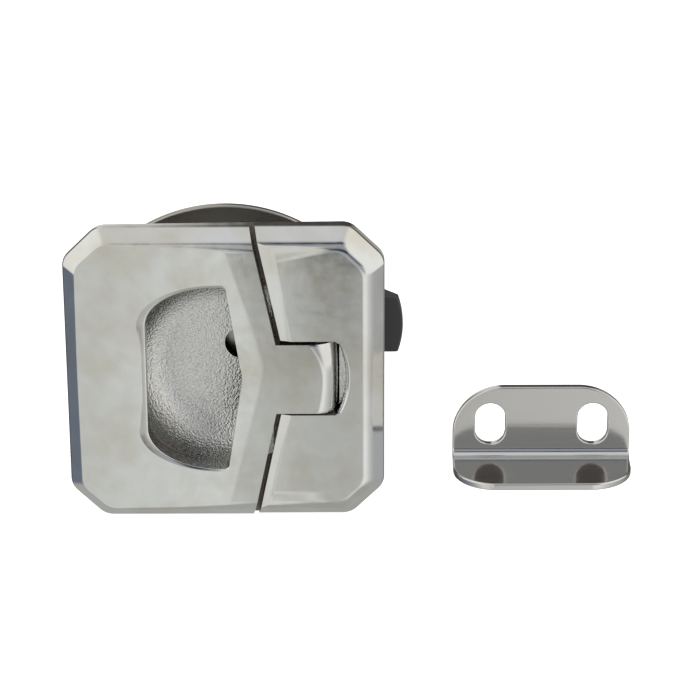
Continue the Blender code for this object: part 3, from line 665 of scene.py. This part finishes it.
# %% Bolt case and its cover
COVER_HOLE = 1.45 * MM
CASE_SPAN = (-22 * MM, 29.5 * MM)
CASE_HALF = 11 * MM
CHANNEL = (-19.5 * MM, 30.5 * MM)
CHANNEL_HALF = 6.5 * MM
FINGER_SLOT = (6 * MM, 23 * MM)
FINGER_SLOT_HALF = 4.5 * MM
CORE = (-18 * MM, 3 * MM)
CORE_HALF = 8 * MM
case_low, case_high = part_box("bolt_case")
cover_low, cover_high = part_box("case_cover")
COVER_SCREWS = [(x * MM, sz * 8.75 * MM) for x in (-18.5, 25.5) for sz in (1, -1)]
case_front, case_back = case_low.y, case_high.y
flange_back = case_front + 2.5 * MM
flange_radius = case_high.z
path = [(10 * MM, case_front), (flange_radius, case_front)]
path += [(flange_radius, flange_back), (10 * MM, flange_back)]
rim = rounded(path, (0.3 * MM, 0.6 * MM), 4)
case = mesh_object("bolt_case_moulding", turned_y((0, 0), rim, 128))
body = box((CASE_SPAN[0], case_front + MM, -CASE_HALF), (CASE_SPAN[1], case_back, CASE_HALF))
boolean(case, body, "UNION")
for (left, right), half, near, far in (
    (CHANNEL, CHANNEL_HALF, bolt_front - GAP, case_back + MM),
    (FINGER_SLOT, FINGER_SLOT_HALF, case_front - MM, bolt_front + MM),
    (CORE, CORE_HALF, case_front - MM, bolt_front - 2.5 * MM),
):
    boolean(case, box((left, near, -half), (right, far, half)))
for place in CLAMPS:
    boolean(case, turned_y(place, ((CLAMP_HOLE, case_front - MM), (CLAMP_HOLE, flange_back + MM)), 32))
for place in COVER_SCREWS:
    boolean(case, turned_y(place, ((COVER_HOLE, case_back - 8 * MM), (COVER_HOLE, case_back + MM)), 24))
finish_edges(case, 0.3 * MM)

cover_left, cover_right, cover_half = cover_low.x, cover_high.x, cover_high.z
corner_path = [(0.0, -cover_half), (cover_right, -cover_half), (cover_right, cover_half)]
corner_path += [(cover_left, cover_half), (cover_left, -cover_half), (0.0, -cover_half)]
cover_outline = rounded(corner_path, (2.5 * MM,) * 4, 8)[:-1]
cover = mesh_object("case_cover_plate", prism_y(cover_outline, cover_low.y, cover_high.y))
for place in COVER_SCREWS:
    boolean(cover, turned_y(place, ((COVER_HOLE, cover_low.y - MM), (COVER_HOLE, cover_high.y + MM)), 24))
finish_edges(cover, 0.2 * MM)
print("case faces:", len(case.data.polygons), "cover faces:", len(cover.data.polygons))

# %% [markdown]
# ## Screws, washers, pins
#
# All of these are turned parts, so each is one profile. The pan heads get a cross recess, cut with two
# tapered bars.

# %% Small turned parts


def pan_screw(name, node):
    low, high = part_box(node)
    centre = ((low.x + high.x) / 2, (low.z + high.z) / 2)
    head = (high.x - low.x) / 2
    big = head > 3 * MM
    shank = 2.0 * MM if big else 1.15 * MM
    height = 2.4 * MM if big else 1.4 * MM
    seat = high.y - height
    dome = arc((0.0, seat + 0.3 * height), (head, 0.7 * height), 0, 84, 12)
    profile = [(shank - 0.3 * MM, low.y), (shank, low.y + 0.4 * MM), (shank, seat), (head - 0.1 * MM, seat)]
    profile += [(head, seat + 0.1 * MM)] + dome
    screw = mesh_object(name, turned_y(centre, profile, 48))
    x, z = centre
    for long, wide in ((0.6, 0.15), (0.15, 0.6)):
        points = []
        for y, spread in ((high.y + MM, 1.0), (high.y - 0.6 * height, 0.6)):
            for sx in (-1, 1):
                for sz in (-1, 1):
                    points.append((x + sx * long * head * spread, y, z + sz * wide * head * spread))
        boolean(screw, hull(points))
    finish_edges(screw, 0.06 * MM, angle=40)
    return screw


screws = {}
for kind in ("clamp_screw", "cover_screw"):
    for number in range(1, 5):
        screws[f"{kind}_{number}"] = pan_screw(f"{kind}_turned_{number}", f"{kind}_{number}")

washers = {}
for number in range(1, 5):
    low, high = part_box(f"clamp_washer_{number}")
    centre = ((low.x + high.x) / 2, (low.z + high.z) / 2)
    radius = (high.x - low.x) / 2
    path = [(1.0 * MM, low.y), (radius, low.y), (radius, high.y), (1.0 * MM, high.y)]
    profile = rounded(path, (0.25 * MM, 0.2 * MM), 4)
    washer = mesh_object(f"washer_{number}", turned_y(centre, profile, 64))
    boolean(washer, turned_y(centre, ((CLAMP_HOLE, low.y - MM), (CLAMP_HOLE, high.y + MM)), 40))
    smooth(washer)
    washers[f"clamp_washer_{number}"] = washer


def turned_pin(name, node, ease):
    low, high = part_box(node)
    centre = ((low.x + high.x) / 2, (low.y + high.y) / 2)
    radius = (high.x - low.x) / 2
    path = [(0.3 * MM, low.z), (radius, low.z), (radius, high.z), (0.3 * MM, high.z)]
    pin = mesh_object(name, turned_z(centre, rounded(path, (ease, ease), 5), 48))
    smooth(pin)
    return pin


pivot_pin = turned_pin("hinge_pin", "pivot_pin", 0.35 * MM)
drive_pin = turned_pin("drive_pin", "bolt_drive_pin", 0.3 * MM)
print(len(screws), "screws,", len(washers), "washers, 2 pins")

# %% [markdown]
# ## Springs
#
# A spring is a wire along a coil. The ring of points that makes its section is carried along the path
# without twisting: each new frame is the last one with only the turn that the path asks for.

# %% Springs


def wire(path, radius, sides=16):
    rings = []
    normal = None
    for i, point in enumerate(path):
        ahead = (path[min(i + 1, len(path) - 1)] - path[max(i - 1, 0)]).normalized()
        if normal is None:
            normal = ahead.orthogonal().normalized()
        normal = (normal - ahead * normal.dot(ahead)).normalized()
        across = ahead.cross(normal)
        ring = []
        for k in range(sides):
            angle = 2 * math.pi * k / sides
            ring.append(point + radius * (math.cos(angle) * normal + math.sin(angle) * across))
        rings.append(ring)
    return loft(rings)


def handle_coil():
    radius, mean, steps, turns = 0.3 * MM, 2.15 * MM, 48, 3.5
    low, high = SPRING_BAY[0] + GAP + radius, SPRING_BAY[1] - GAP - radius
    total = int(turns * steps)
    path = [Vector((PIVOT.x + mean, 1.0 * MM, low)), Vector((PIVOT.x + mean, -0.6 * MM, low))]
    for i in range(total + 1):
        angle = 2 * math.pi * i / steps
        height = low + (high - low) * i / total
        path.append(Vector((PIVOT.x + mean * math.cos(angle), PIVOT.y - mean * math.sin(angle), height)))
    path.append(Vector((PIVOT.x - mean, 1.6 * MM, high)))
    path.append(Vector((PIVOT.x - mean - 0.6 * MM, 2.8 * MM, high)))
    path.append(Vector((12.7 * MM, 4.6 * MM, high)))
    return wire(path, radius)


def bolt_coil():
    radius, mean, steps, dead, live = 0.4 * MM, 3.4 * MM, 40, 1.0, 7.0
    middle = (bolt_front + bolt_back) / 2
    start, end = CHANNEL[0] + GAP + radius, BOLT_TAIL - GAP - radius
    closed_pitch = 2.2 * radius
    live_pitch = (end - start - 2 * dead * closed_pitch) / live
    path = []
    for i in range(int((2 * dead + live) * steps) + 1):
        turn = i / steps
        x = start + closed_pitch * min(turn, dead) + live_pitch * min(max(turn - dead, 0.0), live)
        x += closed_pitch * max(turn - dead - live, 0.0)
        angle = 2 * math.pi * turn
        path.append(Vector((x, middle + mean * math.cos(angle), mean * math.sin(angle))))
    return wire(path, radius)


handle_spring = mesh_object("handle_torsion_spring", handle_coil())
handle_spring.data.shade_smooth()
bolt_spring = mesh_object("bolt_compression_spring", bolt_coil())
bolt_spring.data.shade_smooth()
print("spring faces:", len(handle_spring.data.polygons), len(bolt_spring.data.polygons))

# %% [markdown]
# ## Materials
#
# Every finish is made of nodes. One function adds a node: an input given another node's output is linked,
# any other is set. Another turns sRGB hex colours into the linear ones that the shader works in. Relief is
# stacked from noise layers, each with its size and height, in metres on the object, so a pattern's scale is
# one over its real size.

# %% Node and colour helpers


def linear(code):
    channels = [int(code[i : i + 2], 16) / 255 for i in (1, 3, 5)]
    return (*[c / 12.92 if c <= 0.04045 else ((c + 0.055) / 1.055) ** 2.4 for c in channels], 1.0)


def add_node(tree, kind, inputs=None, **settings):
    made = tree.nodes.new("ShaderNode" + kind)
    for key, value in settings.items():
        setattr(made, key, value)
    for key, value in (inputs or {}).items():
        if isinstance(value, bpy.types.NodeSocket):
            tree.links.new(value, made.inputs[key])
        else:
            made.inputs[key].default_value = value
    return made


EVEN = (1.0, 1.0, 1.0)


def finish(name, colour, metallic, roughness, layers):
    """A finish and its relief; each layer is (size, height, stretch along X, Y and Z)."""
    made = bpy.data.materials.new(name)
    made.use_nodes = True
    tree = made.node_tree
    shader = tree.nodes["Principled BSDF"]
    shader.inputs["Base Color"].default_value = linear(colour)
    shader.inputs["Metallic"].default_value = metallic
    shader.inputs["Roughness"].default_value = roughness
    place = add_node(tree, "TexCoord").outputs["Object"]
    patterns = []
    for size, height, stretch in layers:
        scaled = add_node(tree, "Mapping", {"Vector": place, "Scale": stretch}).outputs["Vector"]
        noise = add_node(tree, "TexNoise", {"Vector": scaled, "Scale": 1 / size, "Detail": 2.0})
        relief = {"Height": noise.outputs["Fac"], "Strength": 1.0, "Distance": height}
        if patterns:
            relief["Normal"] = bump.outputs["Normal"]
        bump = add_node(tree, "Bump", relief)
        patterns.append(noise.outputs["Fac"])
    tree.links.new(bump.outputs["Normal"], shader.inputs["Normal"])
    return made, tree, shader, patterns


print("mid grey #808080 is", round(linear("#808080")[0], 3), "in linear light")

# %% [markdown]
# ### Polished cast stainless
#
# Investment-cast 316 stainless, ground and buffed by hand. Buffing makes it a mirror, but a slightly wavy
# one, with straw-coloured and grey clouds left in the skin of the casting. The wheel leaves fine lines
# along Z, which are drawn 0.3 mm apart, as coarse as it takes to show.

# %% Polished castings
POLISH_WAVE = 13 * MM
POLISH_PEEL = 2.6 * MM
BUFF_LINE = 0.3 * MM
BUFF_STRETCH = (1.0, 1.0, 0.05)
CLOUD = 11 * MM
layers = [(POLISH_WAVE, 0.06 * MM, EVEN), (POLISH_PEEL, 0.005 * MM, EVEN)]
layers.append((BUFF_LINE, 0.0006 * MM, BUFF_STRETCH))
polished, tree, shader, patterns = finish("cast_stainless_polished", "#CFCFCD", 1.0, 0.16, layers)
place = add_node(tree, "TexCoord").outputs["Object"]
cloud = add_node(tree, "TexNoise", {"Vector": place, "Scale": 1 / CLOUD, "Detail": 4.0}).outputs["Fac"]
stain = add_node(tree, "MapRange", {"Value": cloud, "From Min": 0.42, "From Max": 0.72}).outputs["Result"]
colours = {0: stain, 6: linear("#D5D6D5"), 7: linear("#C8C5BC")}
tint = add_node(tree, "Mix", colours, data_type="RGBA")
tree.links.new(tint.outputs[2], shader.inputs["Base Color"])
haze = {"Value": patterns[1], "From Min": 0.3, "From Max": 0.7, "To Min": 0.08, "To Max": 0.14}
tree.links.new(add_node(tree, "MapRange", haze).outputs["Result"], shader.inputs["Roughness"])
print(polished.name, "has", len(tree.nodes), "nodes")

# %% [markdown]
# ### Cast skin in the finger cup
#
# No wheel reaches into the cup or past the window's edge, so they keep the pebbly skin of the mould, only
# brightened by tumbling in shot. The grains are about half a millimetre across, and glitter.

# %% Shot-tumbled skin
SWELL = 4.5 * MM
PEBBLE = 0.42 * MM
layers = [(SWELL, 0.07 * MM, EVEN), (PEBBLE, 0.17 * MM, EVEN)]
pebbled = finish("cast_stainless_shot_tumbled", "#D0D0CE", 1.0, 0.2, layers)[0]
print(pebbled.name, "grains", round(PEBBLE / MM, 2), "mm")

# %% [markdown]
# ### Raw casting in the gaps
#
# The seam's walls, the socket's sides and the flange under the handle were never polished. They hold brown
# polishing compound, which isn't a metal, so the finish is mostly a dull film that stays visible where no
# light is mirrored.

# %% Raw casting
hollow = finish("cast_stainless_raw", "#756D66", 0.35, 0.45, [(0.5 * MM, 0.14 * MM, EVEN)])[0]
print(hollow.name, "is dull brown grey")

# %% [markdown]
# The bores behind the cup and the well of the finger are painted near black as shade, a rough dark film with
# next to no shine, so that they look like plain dark holes.

# %% Bores painted dark as shade
layers = [(0.5 * MM, 0.05 * MM, EVEN)]
bore_shade, _, shader, _ = finish("cast_stainless_bore_painted_shade", "#241F1B", 0.0, 0.85, layers)
shader.inputs["Specular IOR Level"].default_value = 0.1
print(bore_shade.name, "has a specular level of", round(shader.inputs["Specular IOR Level"].default_value, 2))

# %% [markdown]
# ### Sheet, fasteners and springs
#
# Rolled sheet keeps fine lines along the rolling direction, here X, that blur reflections across them. The
# lines are drawn about 0.12 mm apart, as coarse as it takes to show. Turned parts and wire are duller.

# %% Steels
ROLL_LINE = 0.12 * MM
ROLL_BAND = 0.9 * MM
layers = [(ROLL_LINE, 0.0018 * MM, (0.012, 1.0, 1.0)), (ROLL_BAND, 0.008 * MM, (0.03, 1.0, 1.0))]
sheet, tree, shader, patterns = finish("stainless_sheet_rolled", "#CFCECC", 1.0, 0.16, layers)
streaks = {"Value": patterns[0], "From Min": 0.3, "From Max": 0.7, "To Min": 0.1, "To Max": 0.2}
tree.links.new(add_node(tree, "MapRange", streaks).outputs["Result"], shader.inputs["Roughness"])
turned = finish("stainless_turned", "#ACA9A4", 1.0, 0.3, [(0.3 * MM, 0.006 * MM, EVEN)])[0]
spring_wire = finish("spring_wire_drawn", "#A3A3A5", 1.0, 0.28, [(0.25 * MM, 0.004 * MM, EVEN)])[0]
print("steels:", sheet.name, turned.name, spring_wire.name)

# %% [markdown]
# ### Plastics
#
# Acetal comes from the mould with a soft, even sheen. The case is glass-filled nylon, duller and a little
# grainy.

# %% Plastics
acetal = finish("acetal_moulded_black", "#363436", 0.0, 0.45, [(0.35 * MM, 0.02 * MM, EVEN)])[0]
nylon = finish("nylon_glass_filled_black", "#1D1D1E", 0.0, 0.55, [(0.3 * MM, 0.02 * MM, EVEN)])[0]
print("plastics:", acetal.name, nylon.name)

# %% [markdown]
# ## Dressing the pieces
#
# Each piece names the CAD node that it stands for and the body that it rides on. The
# housing takes four finishes and the handle three, and each face picks one by where it lies.

# %% Finish by place
CUP_SIDE = 11 * MM
CAST_FROM = 21 * MM
BARREL_INSIDE = 24.6 * MM


def dress(piece, node, body, slot, *finishes):
    piece.data.materials.clear()
    for made in finishes:
        piece.data.materials.append(made)
    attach(piece, body)
    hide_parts(node)


def housing_finish(centre, normal):
    radial = math.hypot(centre.x, centre.z)
    inside = radial < BARREL_INSIDE
    wall = abs(normal.y) < 0.3
    # Finish 3 is painted shade: the bores and the finger's well are coloured near black to stand for the
    # shade inside them.
    if centre.x > CUP_SIDE and -FLANGE + 0.1 * MM < centre.y < BARREL_END - MM and inside:
        return 3
    if centre.y > CUP_FLOOR + 0.02 * MM and inside:
        return 3
    if centre.x < CUP_SIDE and inside and centre.y > -FLANGE + 0.05 * MM:
        return 1
    socket = wall and 6 * MM < centre.x < 24.4 * MM and abs(centre.z) < SOCKET_HALF + 0.1 * MM
    if socket and centre.x > CAST_FROM:
        return 1
    seam = wall and normal.x < -0.8 and -2 * MM < centre.x < 12.5 * MM
    floor = abs(centre.y + FLANGE) < 0.05 * MM
    if floor and centre.x > CAST_FROM:
        return 1
    return 2 if socket or seam or floor else 0


def handle_finish(centre, normal):
    wall = abs(normal.y) < 0.3
    seam = wall and normal.x > 0.8 and 3 * MM < centre.x < 12 * MM and abs(centre.z) > TONGUE_HALF
    window = wall and WINDOW_LEFT - MM < centre.x < WINDOW_APEX_X + MM and abs(centre.z) < WINDOW_HALF + MM
    if window and not seam:
        return 1
    return 2 if seam or centre.y > HANDLE_BACK - 0.05 * MM else 0


def assign(piece, rule):
    for polygon in piece.data.polygons:
        polygon.material_index = rule(polygon.center, polygon.normal)
    counts = {}
    for polygon in piece.data.polygons:
        counts[polygon.material_index] = counts.get(polygon.material_index, 0) + 1
    print(piece.name, "faces by finish:", dict(sorted(counts.items())))


dress(housing, "housing", "latch_body", "polished_cast_steel", polished, pebbled, hollow, bore_shade)
assign(housing, housing_finish)
dress(handle, "handle", "lift_handle", "polished_cast_steel", polished, pebbled, hollow)
assign(handle, handle_finish)
dress(bolt, "bolt", "slam_bolt", "black_acetal", acetal)
dress(drive_pin, "bolt_drive_pin", "slam_bolt", "fastener_steel", turned)
dress(strike, "strike", "strike_plate", "sheet_steel", sheet)
dress(clamp_plate, "mounting_plate", "latch_body", "sheet_steel", turned)
dress(case, "bolt_case", "latch_body", "black_nylon", nylon)
dress(cover, "case_cover", "latch_body", "sheet_steel", sheet)
dress(pivot_pin, "pivot_pin", "latch_body", "fastener_steel", turned)
dress(handle_spring, "handle_spring", "latch_body", "spring_steel", spring_wire)
dress(bolt_spring, "bolt_spring", "latch_body", "spring_steel", spring_wire)
for name, screw in {**screws, **washers}.items():
    dress(screw, name, "latch_body", "fastener_steel", turned)

# %% [markdown]
# ## The studio
#
# Polished metal shows the room and little else, so the room is drawn by direction. Seen in the flat faces
# is a pale table in front, lighter to the left. Light cards stand at both sides and above, with dark gaps
# between them that make the stripes along the top bevel, and behind the object it is dark. Paper and
# plastic get plain white light.

# %% Room colours by direction
AROUND = (
    (-180, "#78726D"), (-130, "#3C3B3D"), (-98, "#5E6571"), (-80, "#6C7380"), (-60, "#8A8E96"),
    (-45, "#AEB0B2"), (-30, "#CACAC7"), (-16, "#C4C5C2"), (-9, "#B0B1AE"), (-7.3, "#B6B7B4"),
    (-6, "#C4C5C2"), (-3.9, "#C8C9C6"), (-2.8, "#B0B1AE"), (-1.6, "#A5A6A3"), (-0.6, "#A4A5A0"),
    (1.6, "#A6A6A2"), (2.6, "#B4B4B2"), (6, "#B0B0AE"), (10, "#D2D2D0"), (26, "#D4D4D2"),
    (45, "#BCBCBA"), (70, "#A6A6A5"), (92, "#989899"), (112, "#808182"), (135, "#6C6B6B"),
    (180, "#78726D"),
)
UPWARD = (
    (-90, "#9A9A97"), (-28, "#92938F"), (-16, "#8C8E90"), (-11, "#9A9DA2"), (-6, "#2E3444"),
    (2, "#343B4C"), (8, "#80848C"), (16, "#8C8E90"), (27, "#90908E"), (33, "#767C88"),
    (38, "#2E3446"), (45, "#363E50"), (52, "#A6A8AC"), (62, "#BEBFC1"), (90, "#C2C3C6"),
    (110, "#8E8E90"), (128, "#4A4644"), (165, "#383432"),
)

print("the ramps have", len(AROUND), "and", len(UPWARD), "stops")

# %% [markdown]
# Each direction is turned into two angles, one around the object and one upward, and each angle reads its
# own ramp.

# %% Two ramps read by angle
world = bpy.data.worlds.new("studio")
bpy.context.scene.world = world
world.use_nodes = True
room = world.node_tree
room.nodes.clear()
direction = add_node(room, "TexCoord").outputs["Generated"]
dx, dy, dz = add_node(room, "SeparateXYZ", {0: direction}).outputs
ahead = add_node(room, "Math", {0: dy, 1: -1.0}, operation="MULTIPLY").outputs[0]
around = add_node(room, "Math", {0: dx, 1: ahead}, operation="ARCTAN2").outputs[0]
upward = add_node(room, "Math", {0: dz, 1: ahead}, operation="ARCTAN2").outputs[0]
aside = add_node(room, "Math", {0: dx}, operation="ABSOLUTE").outputs[0]

drawn = []
for angle, stops in ((around, AROUND), (upward, UPWARD)):
    share = add_node(room, "MapRange", {"Value": angle, "From Min": -math.pi, "From Max": math.pi})
    cards = add_node(room, "ValToRGB", {"Fac": share.outputs["Result"]})
    elements = cards.color_ramp.elements
    while len(elements) < len(stops):
        elements.new(0.5)
    for element, (degrees, code) in zip(elements, stops):
        element.position = (degrees + 180) / 360
        element.color = linear(code)
    drawn.append(cards.outputs["Color"])
table, ceiling = drawn
print("room nodes so far:", len(room.nodes))

# %% [markdown]
# Soft-edged patches go over the two ramps, as cards would be hung over each other: where each one starts
# and is full, along a direction or an angle, and then the colour that it lays on.

# %% Patches
EDGES = {
    "right_of_ridge": (around, -0.05, -0.02),
    "left_of_strike": (around, 0.036, 0.022),
    "top_of_table": (dz, -0.435, -0.38),
    "far_left": (dx, -0.035, -0.08),
    "at_sides": (aside, 0.28, 0.55),
    "behind": (dy, 0.15, 0.55),
    "above_table": (dz, -0.36, -0.28),
    "near_feet": (dz, -0.56, -0.74),
}
edge = {}
for name, (source, start, full) in EDGES.items():
    inputs = {"Value": source, "From Min": start, "From Max": full}
    edge[name] = add_node(room, "MapRange", inputs, interpolation_type="SMOOTHSTEP").outputs["Result"]
for name, first, second in (
    ("block", "right_of_ridge", "left_of_strike"),
    ("block_top", "block", "top_of_table"),
    ("side_behind", "at_sides", "behind"),
):
    inputs = {0: edge[first], 1: edge[second]}
    edge[name] = add_node(room, "Math", inputs, operation="MULTIPLY").outputs[0]

for name, code in (("far_left", "#C2C1BD"), ("at_sides", "#DAD9D5"), ("side_behind", "#4C4846")):
    colours = {0: edge[name], 6: ceiling, 7: linear(code)}
    ceiling = add_node(room, "Mix", colours, data_type="RGBA").outputs[2]
seen = table
laid_over = {"block_top": linear("#5C5C58"), "above_table": ceiling, "near_feet": linear("#989895")}
for name, over in laid_over.items():
    seen = add_node(room, "Mix", {0: edge[name], 6: seen, 7: over}, data_type="RGBA").outputs[2]
print("room:", len(EDGES), "soft edges")

# %% [markdown]
# Only mirror reflections see the drawn room. Everything else is lit by plain white, so paper and plastic
# stay neutral.

# %% Room light
MIRROR_GAIN = 1.6
path = add_node(room, "LightPath")
mirror = add_node(room, "Background", {"Color": seen, "Strength": MIRROR_GAIN})
plain = add_node(room, "Background", {"Color": linear("#FFFFFF"), "Strength": 1.0})
sources = {0: path.outputs["Is Glossy Ray"], 1: plain.outputs[0], 2: mirror.outputs[0]}
either = add_node(room, "MixShader", sources)
add_node(room, "OutputWorld", {"Surface": either.outputs[0]})
print("mirror gain", MIRROR_GAIN)

# %% [markdown]
# The floor is a plain white sheet under the object. It glows a little, like a light table, so no shadow
# gathers, and it is left out of mirror reflections, which see the room instead.

# %% Floor
FLOOR_Z = cad_low.z - 12 * MM
FLOOR_HALF = 3
GLOW = 0.55
corners = [(sx * FLOOR_HALF, sy * FLOOR_HALF) for sx, sy in ((-1, -1), (1, -1), (1, 1), (-1, 1))]
floor_mesh = bmesh.new()
floor_mesh.faces.new([floor_mesh.verts.new((x, y, FLOOR_Z)) for x, y in corners])
floor = mesh_object("floor", floor_mesh)
paper, _, shader, _ = finish("paper_white_matt", "#EDEDED", 0.0, 0.9, [(0.4 * MM, 0.01 * MM, EVEN)])
shader.inputs["Emission Color"].default_value = linear("#FFFFFF")
shader.inputs["Emission Strength"].default_value = GLOW
floor.data.materials.append(paper)
floor.visible_glossy = False
print("floor at", round(FLOOR_Z / MM, 1), "mm")

# %% [markdown]
# ## The camera
#
# A long lens from 25 degrees above, a little to the right of the latch's middle, so that both pieces fit.

# %% Camera
PITCH = math.radians(25.0)
ROLL = math.radians(0.17)
DISTANCE = 642 * MM
AIM = Vector((25.06 * MM, 0.0, 3.85 * MM))
LENS = 163.8
camera_data = bpy.data.cameras.new("camera")
camera = bpy.data.objects.new("camera", camera_data)
bpy.context.scene.collection.objects.link(camera)
camera_data.sensor_width = 36.0
camera_data.lens = LENS
camera_data.clip_end = 20.0
camera.location = AIM + DISTANCE * Vector((0.0, -math.cos(PITCH), math.sin(PITCH)))
tilt = Matrix.Rotation(math.pi / 2 - PITCH, 3, "X") @ Matrix.Rotation(-ROLL, 3, "Z")
camera.rotation_euler = tilt.to_euler()
bpy.context.scene.camera = camera
bpy.context.scene.view_settings.view_transform = "Standard"
print("lens", LENS, "mm from", round(DISTANCE / MM), "mm away")
